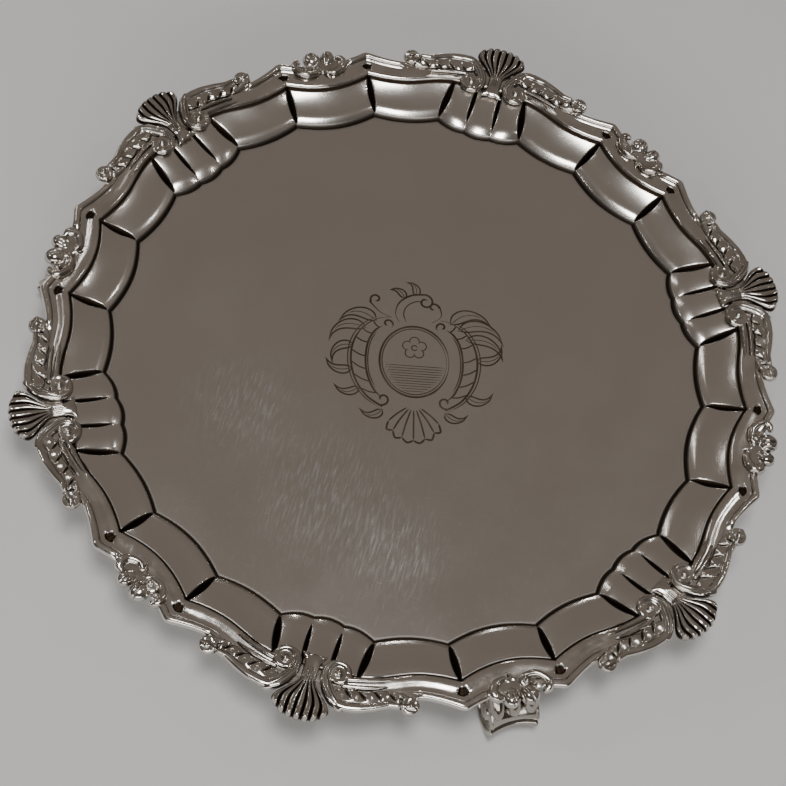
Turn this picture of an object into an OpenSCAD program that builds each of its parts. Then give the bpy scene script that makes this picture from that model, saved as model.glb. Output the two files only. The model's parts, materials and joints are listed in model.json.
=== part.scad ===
// Silver salver: a raised sheet tray with a cast and applied border of
// mouldings, shells, foliate scrolls and rocailles, on three cast scroll feet.
// The origin is on the table under the centre of the tray, and +Z is up.

/* [Tray] */
// Height of the top of the flat well above the table
well_h = 20; // [16:0.5:26]
// Radius of the well where two panels meet
well_r = 116; // [112:0.5:120]
// How far a wide panel bows in towards the well
wide_bow = 2.5; // [0:0.1:4]
// How far a small panel bows in
small_bow = 4.2; // [0:0.1:5]
// How far a group of three flutes bows in
flute_bow = 4; // [0:0.1:5]
// How far the round end of each flute stands out
flute_lobe = 0.9; // [0:0.1:1.5]
// Height of each flute's crown
flute_crown = 0.7; // [0:0.1:1]
// Thickness of the silver sheet
sheet_t = 1.2; // [0.9:0.1:1.6]
// Height of the step round the well
step_h = 1; // [0.5:0.1:1.5]
// Height of the round shoulder above the step
shoulder_h = 1.6; // [1:0.1:2]
// Rise of the hollow sweep from the shoulder to the border
sweep_h = 4; // [3:0.1:5]
// Depth of the crease between two panels
crease = 0.6; // [0:0.1:0.8]

/* [Border moulding] */
// Inner radius at a corner
mould_in_r = 131.8; // [130:0.1:133]
// Outer radius at a corner
mould_out_r = 142.8; // [141:0.1:144]
// Inner radius where the long wave dips
dip_in_r = 129; // [127.5:0.1:130]
// Outer radius where the long wave dips
dip_out_r = 137.8; // [136.5:0.1:139]
// Inner radius beside a shell
side_in_r = 132.3; // [131:0.1:133]
// Outer radius beside a shell
side_out_r = 141; // [139:0.1:142]
// How far the short wave bows in between its two corners
short_bow = 4.8; // [4:0.1:5.5]
// Height of the outer crest above the tray's rim
crest_h = 2.4; // [1.8:0.1:3]
// Height of the broad inner band above the tray's rim
band_h = 1; // [0.8:0.1:1.4]
// Height of the seat for the applied ornaments above the tray's rim
seat_h = 1; // [0.6:0.1:1.4]

/* [Ornaments] */
// Radius of the tips of the shells, half the salver's width
tip_r = 152.5; // [150:0.5:154]
// Radius at the inner edge of a shell's base
shell_in_r = 127.6; // [126.5:0.1:129]
// Half width of a shell at its widest
shell_half_w = 10.2; // [9:0.1:11]
// Number of ribs on a shell
shell_ribs = 7; // [5:2:9]
// Radius of the ball at the thin end of a scroll
ball_r = 2.9; // [2.3:0.1:3.2]
// Radius of the volute at the thick end of a scroll
volute_r = 3.3; // [2.8:0.1:3.8]
// Radius of the middle of a rocaille
rocaille_r = 138; // [137:0.1:139]
// Angle that the shells and scrolls are turned clockwise from the panels' axes
lean = 0.5; // [0:0.1:1]

/* [Feet] */
// Radius of the feet from the centre
foot_r = 137.8; // [134:0.1:138.5]
// How far each foot stands to one side of its rocaille's axis
foot_shift = 0.6; // [0:0.1:3]
// Radius of the ends of a foot's roll
roll_r = 9.35; // [8.5:0.05:9.6]
// Radius of the waist of the roll
waist_r = 7.2; // [6:0.1:8]
// Width of a foot
foot_w = 18.4; // [16:0.2:24]
// Width of the leg above the roll
leg_w = 13; // [10:0.5:15]
// Length of the flat pad under a foot
pad_w = 12; // [8:0.5:14]
// Width of the flat pad
pad_d = 6; // [4:0.5:8]

/* [Hidden] */
SIX = [0:5];

sector = 60;               // one shell to the next
half = sector / 2;
flute_a = 8.6;             // well edge: end of the flutes, from the shell's axis
flute_rim_a = 6.6;         // the same crease where it meets the border
panel_a = 21.75;           // well edge: end of the wide panel
corner_a = 22.4;           // the same crease at the corner of the border
dip_a = 16;                // where the long wave dips
flat_r = well_r - 14;      // the exact flat disc of the well
rim_z = step_h + shoulder_h + sweep_h;
shoulder_v = 0.25;         // share of the panel taken by the round shoulder
step_v = 0.04;             // share taken by the step
seat_z = well_h + rim_z + seat_h;
rim_gap = 1.6;             // the sheet ends this far inside the border's edge
dab_flat = 0.75;           // height over width of the cast strokes
rib_pivot = 131;           // the shell's ribs fan out from here
rib_end_r = 2.4;
rib_drop = 6.2;            // how much shorter the outermost ribs are
rib_spread = asin((shell_half_w - rib_end_r) / (tip_r - rib_pivot - rib_end_r - rib_drop));
rib_root_x = 4;            // each rib's narrow end, from the pivot
rib_root_y = 2.2;
rib_root_r = 1.6;
rib_lift = 1.2;            // height of the ribs' round ends over the seat
base_y = 4.4;              // the shell's scalloped base
base_r = 1.8;
neck_x = 5;                // its neck, from the pivot
neck_y = 2.64;
neck_r = 2.2;
neck_lift = 0.4;
base_sink = 0.6;           // the base hangs over the sheet beside the border
base_gap = 0.2;
ball_a = 15.1;             // the ball at the thin end of a scroll
ball_path_r = 140.6;
ball_lift = 0.4;
stem_r = 141;              // the middle of a scroll's stem
stem_from_a = 13.4;        // where it starts beside the ball, and how wide
stem_from_r = 1.8;
stem_to_a = 5.6;           // where it turns in to the volute
stem_to_r = 3.3;
stem_steps = 7;
elbow = [137.4, 3.9, 2.4]; // radius, angle and width of that turn
volute_a = 4.4;            // the volute at the thick end of a scroll
volute_path_r = 133.4;
curl_r = 4.8;              // the C of a rocaille
curl_y = 6.4;
curl_squash = 0.8;
curl_from = -150;
curl_turn = 270;
curl_steps = 6;
curl_w = 1.8;
lobes = [[142.2, -5.4, 2.4], [143, -0.8, 2.6], [142.6, 4, 2.4]]; // x, y and size of each lobe
lobe_root_r = 1.6;
lobe_lift = 0.6;
web_r = 2.2;               // the web that joins the C and the lobes
web_end = [136.5, -7.5, 1.4];
roll_gap = 0.15;           // the roll clears the table, and the pad touches it
eye_r = 5.6;               // the dished ends of the roll
flange = 1.2;              // straight part at each end of the roll
pad_h = 5;
leg_root = [-9, -3.2];     // the leg's top, from the roll's axis
leg_foot = [-5, 3];        // the leg's lower end
leg_rise = [2, 4];         // and its height over the roll's axis
leg_bury = 0.2;            // the leg runs this far into the rim's underside
leg_top_z = well_h + rim_z - sheet_t + leg_bury;
big = 200;                 // more than the salver's radius

// Angles of the stations round half a sector, at the well's edge
half_steps = concat([for (i = [0:5]) flute_a * i / 6],
                    [for (i = [0:4]) flute_a + (panel_a - flute_a) * i / 5],
                    [for (i = [0:3]) panel_a + (half - panel_a) * i / 4]);
sector_steps = concat([for (i = [len(half_steps) - 1:-1:1]) -half_steps[i]],
                      half_steps, [half]);

function polar(r, a, z) = [r * cos(a), r * sin(a), z];
function mix(a, b, t) = a + (b - a) * t;
function arch(t) = 1 - t * t;
// A bow of the given depth between two angles
function bow(a, from, to, depth) = depth * arch((2 * a - from - to) / (to - from));
// Place across one of the three flutes, from -1 to 1
function across_flute(a) =
    let (w = 2 * flute_a / 3, s = (abs(a) + flute_a) / w) 2 * (s - floor(s)) - 1;
function axis_a(k) = 90 - sector * k;

// Edge of the flat well
function well_edge(a) =
    a < flute_a ? well_r - bow(a, -flute_a, flute_a, flute_bow)
                  - flute_lobe * arch(across_flute(a))
    : a < panel_a ? well_r - bow(a, flute_a, panel_a, wide_bow)
    : well_r - bow(a, panel_a, sector - panel_a, small_bow);

// Angle at the border of a crease that leaves the well at angle a
function rim_a(a) = sign(a) * lookup(abs(a),
    [[0, 0], [flute_a, flute_rim_a], [panel_a, corner_a], [half, half]]);

// A long wave that dips between the shell's side and the corner
function long_wave(a, side_r, dip_r, corner_r, power) =
    a < flute_rim_a ? side_r
    : a < dip_a ? mix(dip_r, side_r, (1 - cos(180 * (dip_a - a) / (dip_a - flute_rim_a))) / 2)
    : mix(dip_r, corner_r, pow((a - dip_a) / (corner_a - dip_a), power));
function border_in(a) =
    a > corner_a ? mould_in_r - bow(a, corner_a, sector - corner_a, short_bow)
    : long_wave(a, side_in_r, dip_in_r, mould_in_r, 2);
function border_out(a) =
    a > corner_a ? mould_out_r - bow(a, corner_a, sector - corner_a, short_bow)
    : long_wave(a, side_out_r, dip_out_r, mould_out_r, 1.6);

// Height of a panel over the well: a step, a round shoulder and a hollow sweep
function panel_z(v) =
    step_h * min(v / step_v, 1)
    + shoulder_h * sin(90 * min(v / shoulder_v, 1))
    + sweep_h * v * v;
function is_crease(a) = abs(abs(a) - flute_a) < 0.01 || abs(abs(a) - panel_a) < 0.01;
function relief(a, v) =
    sin(180 * v) * (is_crease(a) ? -crease
                    : abs(a) < flute_a ? flute_crown * (arch(across_flute(a)) - 0.5) : 0);

// A closed solid between a top and a bottom grid of points; wrap joins the ends
module slab(top, bottom, wrap = false) {
    n = len(top);
    m = len(top[0]);
    last = wrap ? n - 1 : n - 2;
    under = n * m;
    points = concat([for (row = top) for (p = row) p],
                    [for (row = bottom) for (p = row) p]);
    sheets = [for (i = [0:last]) for (j = [0:m - 2])
        let (i2 = (i + 1) % n, a = i * m + j, b = i2 * m + j)
        each [[a, b, b + 1], [a, b + 1, a + 1],
              [under + a, under + b + 1, under + b], [under + a, under + a + 1, under + b + 1]]];
    walls = [for (i = [0:last])
        let (a = i * m, b = ((i + 1) % n) * m, c = a + m - 1, d = b + m - 1)
        each [[a, under + a, under + b], [a, under + b, b],
              [c, under + d, under + c], [c, d, under + d]]];
    ends = wrap ? [] : [for (j = [0:m - 2]) let (e = (n - 1) * m + j)
        each [[j, under + j + 1, under + j], [j, j + 1, under + j + 1],
              [e, under + e, under + e + 1], [e, under + e + 1, e + 1]]];
    polyhedron(points, concat(sheets, walls, ends));
}

// The sheet's section at one station, drop below the top face
function tray_row(k, a, drop) =
    let (m = rim_a(a), f = abs(a), g = abs(m),
         in_r = well_edge(f), out_r = border_in(g), c = axis_a(k),
         lag = drop > 0 ? step_v : 0)
    concat([polar(flat_r, c + a, well_h - drop)],
           [for (v = [0, step_v, 0.12, shoulder_v, 0.5, 0.75, 1])
               let (s = v < shoulder_v ? v + lag : v)
               polar(mix(in_r, out_r, s), c + mix(a, m, s),
                     well_h + panel_z(v) + relief(a, v) - drop)],
           [polar(border_out(g) - rim_gap, c + m, well_h + rim_z - drop)]);

module tray() {
    stations = [for (k = [5:-1:0]) for (a = sector_steps) [k, a]];
    outline = [for (s = stations)
        [flat_r * cos(axis_a(s[0]) + s[1]), flat_r * sin(axis_a(s[0]) + s[1])]];
    color("silver") {
        slab([for (s = stations) tray_row(s[0], s[1], 0)],
             [for (s = stations) tray_row(s[0], s[1], sheet_t)], true);
        translate([0, 0, well_h - sheet_t]) linear_extrude(sheet_t) polygon(outline);
    }
}

// Section of the border: share of its width, height over the tray's rim.
// A broad band, a hollow and a fat outer roll, which laps over the sheet's edge
section = [[0, 0.4], [0.08, band_h - 0.2], [0.2, band_h], [0.45, 0.5], [0.62, 0.9],
           [0.72, crest_h - 0.4], [0.85, crest_h], [0.94, crest_h - 0.3], [1, 1]];
lap_from = 0.86;           // the outer roll laps over the sheet from this share
lap = 0.5;
shell_seat_a = 5;          // the shell's seat reaches this far from its axis
scroll_seat_a = 16.4;      // and the scroll's seat this far
rocaille_seat_a = 25;      // the rocaille's seat starts here
scroll_seat_from = 0.62;   // they start at these shares of the width
rocaille_seat_from = 0.5;
// Where an applied ornament covers the border, from this share of its width outwards
function seat_from(g) =
    g < shell_seat_a ? 0
    : g < scroll_seat_a ? scroll_seat_from
    : g > rocaille_seat_a ? rocaille_seat_from : 2;
function border_row(c, a, top) =
    let (g = abs(a), w = border_out(g) - border_in(g))
    [for (p = section)
        let (under = p[0] > lap_from ? -lap : 0,
             over = p[0] > seat_from(g) ? min(p[1], seat_h) : p[1])
        polar(border_in(g) + w * p[0], c + a, well_h + rim_z + (top ? over : under))];

// One moulding, from the axis of one shell to the next
module border(k) {
    edge = 0.1;
    from_shell = concat([0, shell_seat_a - edge, shell_seat_a + edge],
                        [for (i = [0:4]) mix(flute_rim_a, dip_a, i / 4)],
                        [scroll_seat_a + edge, 18, 20, corner_a],
                        [rocaille_seat_a - edge, rocaille_seat_a + edge, 27.5]);
    n = len(from_shell) - 1;
    stations = concat([for (a = from_shell) [0, a]], [[0, half]],
                      [for (i = [n:-1:0]) [1, -from_shell[i]]]);
    c = axis_a(k) - sector;
    color("gainsboro")
        slab([for (s = stations) border_row(c + sector * s[0], s[1], true)],
             [for (s = stations) border_row(c + sector * s[0], s[1], false)]);
}

// Everything under the seat, which the border and the tray's rim fill
module under_seat() {
    translate([-big, -big, seat_z - big]) cube([2 * big, 2 * big, big]);
}

// A flattened ball, the stroke that the cast ornaments are built from
module dab(x, y, z, r, fn = 8) {
    translate([x, y, z]) scale([1, 1, dab_flat]) sphere(r = r, $fn = fn);
}

// Scallop shell, with its axis along +X
module shell_shape() {
    difference() {
        union() {
            for (i = [0:shell_ribs - 1]) {
                t = 2 * i / (shell_ribs - 1) - 1;
                reach = tip_r - rib_pivot - rib_end_r - rib_drop * t * t;
                hull() {
                    dab(rib_pivot + rib_root_x, t * rib_root_y, seat_z + neck_lift, rib_root_r);
                    dab(rib_pivot + reach * cos(rib_spread * t), reach * sin(rib_spread * t),
                        seat_z + rib_lift, rib_end_r);
                }
            }
            hull() for (side = [-1, 1]) {
                dab(shell_in_r + base_r, side * base_y, seat_z - base_sink, base_r, 10);
                dab(rib_pivot + neck_x, side * neck_y, seat_z + neck_lift, neck_r);
            }
        }
        translate([side_in_r - base_gap, -big, seat_z - big]) cube([big, 2 * big, big]);
        translate([0, -big, well_h + rim_z - big]) cube([big, 2 * big, big]);
    }
}
module shell(k) {
    color("whitesmoke") rotate(axis_a(k) - lean) shell_shape();
}

// Foliate scroll on the left of a shell whose axis is along +X: a ball, a stem
// that swells along the border's edge, and a volute beside the shell's base
module scroll_shape() {
    stem = concat(
        [[ball_path_r, ball_a, ball_r / 2]],
        [for (i = [0:stem_steps]) let (t = i / stem_steps)
            [stem_r, mix(stem_from_a, stem_to_a, t), mix(stem_from_r, stem_to_r, sin(90 * t))]],
        [elbow, [volute_path_r, volute_a, volute_r]]);
    difference() {
        union() {
            for (i = [0:len(stem) - 2]) hull() for (p = [stem[i], stem[i + 1]])
                dab(p[0] * cos(p[1]), p[0] * sin(p[1]), seat_z, p[2]);
            dab(ball_path_r * cos(ball_a), ball_path_r * sin(ball_a), seat_z + ball_lift,
                ball_r, 12);
        }
        under_seat();
    }
}
module scroll(k, side) {
    color("gainsboro") rotate(axis_a(k) - lean) mirror([0, side < 0 ? 1 : 0, 0])
        scroll_shape();
}

// Rocaille: a C-scroll with three lobes fanning out of it, its axis along +X
module rocaille_shape() {
    difference() {
        union() {
            for (p = lobes) hull() {
                dab(rocaille_r - 1, p[1] * 0.3, seat_z, lobe_root_r);
                dab(p[0], p[1], seat_z + lobe_lift, p[2]);
            }
            for (i = [0:curl_steps - 1]) hull() for (j = [i, i + 1]) {
                a = curl_from + curl_turn * j / curl_steps;
                dab(rocaille_r + 1 + curl_r * cos(a) * curl_squash, curl_y + curl_r * sin(a),
                    seat_z, curl_w);
            }
            hull() {
                dab(rocaille_r + 1, curl_y, seat_z, web_r);
                dab(web_end[0], web_end[1], seat_z, web_end[2]);
            }
        }
        under_seat();
    }
}
module rocaille(k) {
    color("whitesmoke") rotate(axis_a(k) - half) rocaille_shape();
}

// Scroll foot: a waisted roll on a flat pad, with a leg up to the tray's rim.
// The foot's axis is along +X
module foot_shape() {
    roll_z = roll_r + roll_gap;
    hw = foot_w / 2;
    sag = roll_r - waist_r;
    arc_r = (pow(hw - flange, 2) + sag * sag) / (2 * sag);
    translate([0, foot_shift, 0]) {
        translate([foot_r, 0, roll_z]) rotate([90, 0, 0]) difference() {
            translate([0, 0, -hw]) cylinder(r = roll_r, h = foot_w, $fn = 64);
            rotate_extrude($fn = 64) translate([waist_r + arc_r, 0]) circle(r = arc_r, $fn = 96);
            for (s = [-1, 1]) translate([0, 0, s * hw]) sphere(r = eye_r, $fn = 48);
        }
        translate([0, leg_w / 2, 0]) rotate([90, 0, 0]) linear_extrude(leg_w)
            polygon([[foot_r + leg_root[0], leg_top_z], [foot_r + leg_root[1], leg_top_z],
                     [foot_r + leg_foot[1], roll_z + leg_rise[1]],
                     [foot_r + leg_foot[0], roll_z + leg_rise[0]]]);
        translate([foot_r - pad_d / 2, -pad_w / 2, 0]) cube([pad_d, pad_w, pad_h]);
    }
}
module foot(k) {
    color("silver") rotate(axis_a(2 * k) - half) foot_shape();
}

tray();
for (k = SIX) {
    border(k);
    shell(k);
    scroll(k, 1);
    scroll(k, -1);
    rocaille(k);
}
for (k = [0:2]) {
    foot(k);
}
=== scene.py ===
import json
import math
import bpy
import numpy as np
from mathutils import Matrix, Vector


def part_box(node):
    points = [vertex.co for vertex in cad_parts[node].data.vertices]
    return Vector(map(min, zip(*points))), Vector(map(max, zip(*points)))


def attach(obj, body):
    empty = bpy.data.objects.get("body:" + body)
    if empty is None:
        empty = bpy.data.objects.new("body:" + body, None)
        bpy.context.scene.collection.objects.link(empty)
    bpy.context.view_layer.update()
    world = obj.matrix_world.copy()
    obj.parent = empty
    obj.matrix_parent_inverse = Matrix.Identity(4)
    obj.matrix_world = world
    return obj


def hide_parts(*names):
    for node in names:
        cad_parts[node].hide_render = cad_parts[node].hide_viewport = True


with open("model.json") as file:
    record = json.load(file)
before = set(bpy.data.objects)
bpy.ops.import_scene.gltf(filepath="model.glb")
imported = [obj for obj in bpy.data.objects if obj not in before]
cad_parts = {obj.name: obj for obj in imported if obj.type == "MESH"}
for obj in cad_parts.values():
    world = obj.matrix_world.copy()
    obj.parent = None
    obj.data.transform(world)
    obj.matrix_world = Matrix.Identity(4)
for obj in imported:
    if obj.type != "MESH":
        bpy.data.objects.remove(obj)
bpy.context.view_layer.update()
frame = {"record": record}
mm = 0.001
mounts = {m["name"]: m for m in frame["record"]["mounts"]}
wellZ = mounts["well"]["pos_m"][2] / mm          # top of the flat well
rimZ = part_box("tray")[1].z / mm                  # top of the sheet under the border
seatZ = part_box("scroll_left_1")[0].z / mm        # seat of the applied ornaments
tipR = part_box("shell_1")[1].y / mm               # tip of a shell
panelRise = rimZ - wellZ


# The plan of the salver, in mm and in degrees from the nearest shell's axis

plan = {
    "sector": 60, "lean": -0.5,                    # the shells and scrolls lean a little clockwise
    "wellR": 116, "wideBow": 2.5, "smallBow": 4.2, "fluteBow": 4, "fluteLobe": 0.9,
    "fluteA": 8.6, "fluteRimA": 6.6, "panelA": 21.75, "cornerA": 22.4, "dipA": 16,
    "cornerInR": 131.8, "cornerOutR": 142.8, "dipInR": 129, "dipOutR": 137.8,
    "sideInR": 132.3, "sideOutR": 141, "sideInPower": 2, "sideOutPower": 1.6, "shortBow": 4.8,
}
fluteGrooves = (-plan["fluteA"] / 3, plan["fluteA"] / 3)
creases = (-plan["panelA"], -plan["fluteA"], plan["fluteA"], plan["panelA"])


def bow(a, start, end, depth):
    return depth * (1 - ((2 * a - start - end) / (end - start)) ** 2)


def acrossFlute(a):  # -1 to 1 across each of the three flutes
    s = (a + plan["fluteA"]) / (2 * plan["fluteA"] / 3)
    return 2 * (s - np.floor(s)) - 1


def smooth(t):
    t = np.clip(t, 0, 1)
    return t * t * (3 - 2 * t)


def wellEdge(a):
    a = np.abs(a)
    p = plan
    flutes = (p["wellR"] - bow(a, -p["fluteA"], p["fluteA"], p["fluteBow"])
              - p["fluteLobe"] * (1 - acrossFlute(a) ** 2))
    wide = p["wellR"] - bow(a, p["fluteA"], p["panelA"], p["wideBow"])
    small = p["wellR"] - bow(a, p["panelA"], p["sector"] - p["panelA"], p["smallBow"])
    return np.where(a < p["fluteA"], flutes, np.where(a < p["panelA"], wide, small))


def rimAngle(a):  # where a line that leaves the well at angle a meets the border
    p = plan
    half = p["sector"] / 2
    return np.sign(a) * np.interp(np.abs(a), (0, p["fluteA"], p["panelA"], half),
                                  (0, p["fluteRimA"], p["cornerA"], half))


def borderEdge(a, side, dip, corner, power):
    p = plan
    a = np.abs(a)
    fall = (1 - np.cos(np.pi * (p["dipA"] - a) / (p["dipA"] - p["fluteRimA"]))) / 2
    rise = np.clip((a - p["dipA"]) / (p["cornerA"] - p["dipA"]), 0, 1) ** power
    wave = np.where(a < p["fluteRimA"], side,
                    np.where(a < p["dipA"], dip + (side - dip) * fall, dip + (corner - dip) * rise))
    short = corner - bow(a, p["cornerA"], p["sector"] - p["cornerA"], p["shortBow"])
    return np.where(a > p["cornerA"], short, wave)


def borderIn(a):
    return borderEdge(a, plan["sideInR"], plan["dipInR"], plan["cornerInR"], plan["sideInPower"])


def borderOut(a):
    return borderEdge(a, plan["sideOutR"], plan["dipOutR"], plan["cornerOutR"], plan["sideOutPower"])


def shellAngle(k):
    return 90 - plan["sector"] * k


# Helpers for meshes

def stations(start, end, coarse, places, fine):  # values with more of them near the places
    values = set(np.round(np.linspace(start, end, max(2, round((end - start) / coarse) + 1)), 4))
    for place in places:
        values |= {round(place + d, 4) for d in fine if start <= place + d <= end}
        values |= {round(place - d, 4) for d in fine if start <= place - d <= end}
    kept = []
    for v in sorted(values):
        if kept and v - kept[-1] < min(fine[1:]) * 0.8 and v != end and v not in places:
            continue
        if kept and v - kept[-1] < 0.01:
            kept.pop()
        kept.append(v)
    return np.array(kept)


def addObject(name, points, faces, tarnishAndShade=None, smoothAngle=None):
    mesh = bpy.data.meshes.new(name)
    mesh.from_pydata([tuple(p) for p in np.asarray(points) * mm], [], faces)
    mesh.validate()
    if tarnishAndShade is not None:
        layer = mesh.attributes.new("tarnishAndShade", "FLOAT", "POINT")
        layer.data.foreach_set("value", np.asarray(tarnishAndShade, np.float32))
    mesh.shade_smooth()
    if smoothAngle:
        mesh.set_sharp_from_angle(angle=math.radians(smoothAngle))
    obj = bpy.data.objects.new(name, mesh)
    bpy.context.collection.objects.link(obj)
    return obj


def gridFaces(rows, cols, wrap, start=0, flip=False):
    faces = []
    for i in range(rows if wrap else rows - 1):
        nextRow = (i + 1) % rows
        for j in range(cols - 1):
            quad = (start + i * cols + j, start + nextRow * cols + j,
                    start + nextRow * cols + j + 1, start + i * cols + j + 1)
            faces.append(quad[::-1] if flip else quad)
    return faces


def polar(r, a, z):
    a = np.radians(a)
    return np.stack([r * np.cos(a), r * np.sin(a), z + 0 * r], axis=-1)


def along(path, steps=12):  # a smooth curve through the rows of a path
    p = np.array([path[0], *path, path[-1]], float)
    t = np.linspace(0, 1, steps, endpoint=False)[:, None]
    rows = []
    for a, b, c, d in zip(p, p[1:], p[2:], p[3:]):
        rows.append(0.5 * (2 * b + (c - a) * t + (2 * a - 5 * b + 4 * c - d) * t ** 2
                           + (3 * b - a - 3 * c + d) * t ** 3))
    return np.concatenate([*rows, p[-1:]])


def curl(x, y, startAngle, turns, fromRho, toRho, fromR, toR, points=12):
    rows = []                                      # a spiral's path round a point
    for i in range(points + 1):
        t = i / points
        a = math.radians(startAngle + 360 * turns * t)
        rho = fromRho + (toRho - fromRho) * t ** 0.8
        rows.append((x + rho * math.cos(a), y + rho * math.sin(a), fromR + (toR - fromR) * t))
    return rows


def copyAround(source, name, count, replaced, turn=1, lean=0):
    shape = source.data
    for k in range(count):
        mesh = shape.copy()
        mesh.transform(Matrix.Rotation(math.radians(shellAngle(k * turn) + lean), 4, "Z"))
        piece = bpy.data.objects.new(f"{name}.{k + 1}", mesh)
        mesh.name = piece.name
        bpy.context.collection.objects.link(piece)
        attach(piece, "root")
        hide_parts(f"{replaced}_{k + 1}")
    bpy.data.objects.remove(source)


# Materials: old silver, mottled, with tarnish and painted shade in its hollows, a painted pale sheen on
# rubbed patches, fine scuffs and a faint uneven surface

grain = {
    "mottle": (0.35, 0.7), "film": (0.52, 0.68), "filmShare": 0.4, "wear": (0.3, 0.75), "wearShare": 1.7,
    "scuff": (0.58, 0.78), "scuffStretch": 0.08, "scuffTurn": 0.6, "crossStretch": 0.1, "crossTurn": 0.35,
    "streak": (0.42, 0.72), "streakScale": 1100, "streakStretch": 0.14, "wornSheenCore": 0.2, "dirtRough": 0.35,
}


def silver(name, s):
    mat = bpy.data.materials.new(name)
    mat.use_nodes = True
    nodes, links = mat.node_tree.nodes, mat.node_tree.links
    shader = nodes["Principled BSDF"]
    shader.inputs["Metallic"].default_value = 1
    place = nodes.new("ShaderNodeTexCoord")

    def noise(scale, detail, stretch=(1, 1, 1), turn=0):
        mapping = nodes.new("ShaderNodeMapping")
        mapping.inputs["Scale"].default_value = stretch
        mapping.inputs["Rotation"].default_value = (0, 0, turn)
        texture = nodes.new("ShaderNodeTexNoise")
        texture.inputs["Scale"].default_value = scale
        texture.inputs["Detail"].default_value = detail
        links.new(place.outputs["Object"], mapping.inputs["Vector"])
        links.new(mapping.outputs["Vector"], texture.inputs["Vector"])
        return texture.outputs["Fac"]

    def ramp(source, low, high, outLow, outHigh):
        node = nodes.new("ShaderNodeMapRange")
        node.interpolation_type = "SMOOTHSTEP"
        for key, value in zip((1, 2, 3, 4), (low, high, outLow, outHigh)):
            node.inputs[key].default_value = value
        links.new(source, node.inputs[0])
        return node.outputs[0]

    def maths(kind, a, b):
        node = nodes.new("ShaderNodeMath")
        node.operation = kind
        for socket, value in zip(node.inputs, (a, b)):
            if isinstance(value, (int, float)):
                socket.default_value = value
            else:
                links.new(value, socket)
        return node.outputs[0]

    def mixColour(factor, a, b):
        node = nodes.new("ShaderNodeMix")
        node.data_type = "RGBA"
        links.new(factor, node.inputs["Factor"])
        for socket, value in zip((node.inputs[6], node.inputs[7]), (a, b)):
            if isinstance(value, tuple):
                socket.default_value = (*value, 1)
            else:
                links.new(value, socket)
        return node.outputs[2]

    dirtAndShade = nodes.new("ShaderNodeAttribute")
    dirtAndShade.attribute_name = "tarnishAndShade"
    grimeAndShade = dirtAndShade.outputs["Fac"]
    if s.get("recess"):  # painted shade, with tarnish, where the surface is crowded
        crowd = nodes.new("ShaderNodeAmbientOcclusion")
        crowd.inputs["Distance"].default_value = s["recess"] * mm
        crowd.samples = 6
        hidden = ramp(crowd.outputs["AO"], s["recessFrom"], s["recessTo"], 1, 0)
        grimeAndShade = maths("MAXIMUM", grimeAndShade, hidden)
    g = grain
    clean = mixColour(ramp(noise(s["mottle"], 3), *g["mottle"], 0, 1), s["light"], s["shade"])
    film = ramp(noise(s["mottle"] * g["filmShare"], 2), *g["film"], 0, s["film"])
    tone = mixColour(film, clean, s["filmColour"])
    wear = ramp(noise(s["mottle"] * g["wearShare"], 4), *g["wear"], *s["rough"])
    scuffs = [ramp(noise(s["scuffScale"], 2, stretch, turn), *g["scuff"], 0, s["scuff"])
              for stretch, turn in (((1, g["scuffStretch"], 1), g["scuffTurn"]),
                                    ((g["crossStretch"], 1, 1), g["crossTurn"]))]
    rough = maths("ADD", wear, maths("ADD", *scuffs))
    for x, y, radius, turn in s.get("wornSheen", ()):  # patches rubbed by what has stood there: rougher, with a painted pale bluish sheen
        gap = nodes.new("ShaderNodeVectorMath")
        gap.operation = "DISTANCE"
        links.new(place.outputs["Object"], gap.inputs[0])
        gap.inputs[1].default_value = (x * mm, y * mm, wellZ * mm)
        near = ramp(gap.outputs["Value"], radius * g["wornSheenCore"] * mm, radius * mm, 1, 0)
        streaks = ramp(noise(g["streakScale"], 5, (1, g["streakStretch"], 1), turn), *g["streak"], 0, 1)
        rubbedSheen = maths("MULTIPLY", near, streaks)
        tone = mixColour(maths("MULTIPLY", rubbedSheen, s["wornSheenShare"]), tone, s["wornSheenColour"])
        rough = maths("ADD", rough, maths("MULTIPLY", rubbedSheen, s["wornRough"]))
    # painted shade and tarnish darken the colour by the mask
    links.new(mixColour(grimeAndShade, tone, s["dark"]), shader.inputs["Base Color"])
    links.new(maths("ADD", rough, maths("MULTIPLY", grimeAndShade, g["dirtRough"])), shader.inputs["Roughness"])
    bump = nodes.new("ShaderNodeBump")
    bump.inputs["Strength"].default_value = 1
    bump.inputs["Distance"].default_value = mm
    hammer = maths("MULTIPLY", noise(s["hammerScale"], 1), s["hammer"])
    fine = maths("MULTIPLY", maths("ADD", *scuffs), s["scuffDepth"])
    links.new(maths("SUBTRACT", hammer, fine), bump.inputs["Height"])
    links.new(bump.outputs["Normal"], shader.inputs["Normal"])
    return mat


polished = silver("silverSheet", {
    "light": (0.79, 0.745, 0.695), "shade": (0.765, 0.72, 0.67), "dark": (0.03, 0.019, 0.012),
    "film": 0.12, "filmColour": (0.70, 0.67, 0.62), "mottle": 20, "rough": (0.17, 0.21),
    "scuff": 0.05, "scuffScale": 2200, "scuffDepth": 0.0015, "hammer": 0.03, "hammerScale": 30,
    # the rubbed patches get a painted pale bluish sheen
    "wornSheen": ((-56, -38, 30, 0.5), (-14, -64, 38, 1.0), (16, -78, 26, 0.7)), "wornSheenShare": 0.3,
    "wornSheenColour": (0.84, 0.87, 0.93), "wornRough": 0.09,
})
cast = silver("silverCast", {
    "light": (0.79, 0.745, 0.695), "shade": (0.70, 0.655, 0.60), "dark": (0.03, 0.019, 0.012),
    "film": 0.3, "filmColour": (0.60, 0.55, 0.48), "mottle": 90, "rough": (0.11, 0.22),
    "scuff": 0.06, "scuffScale": 1500, "scuffDepth": 0.008, "hammer": 0.05, "hammerScale": 160,
    "recess": 1.5, "recessFrom": 0.25, "recessTo": 0.68,
})
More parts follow.
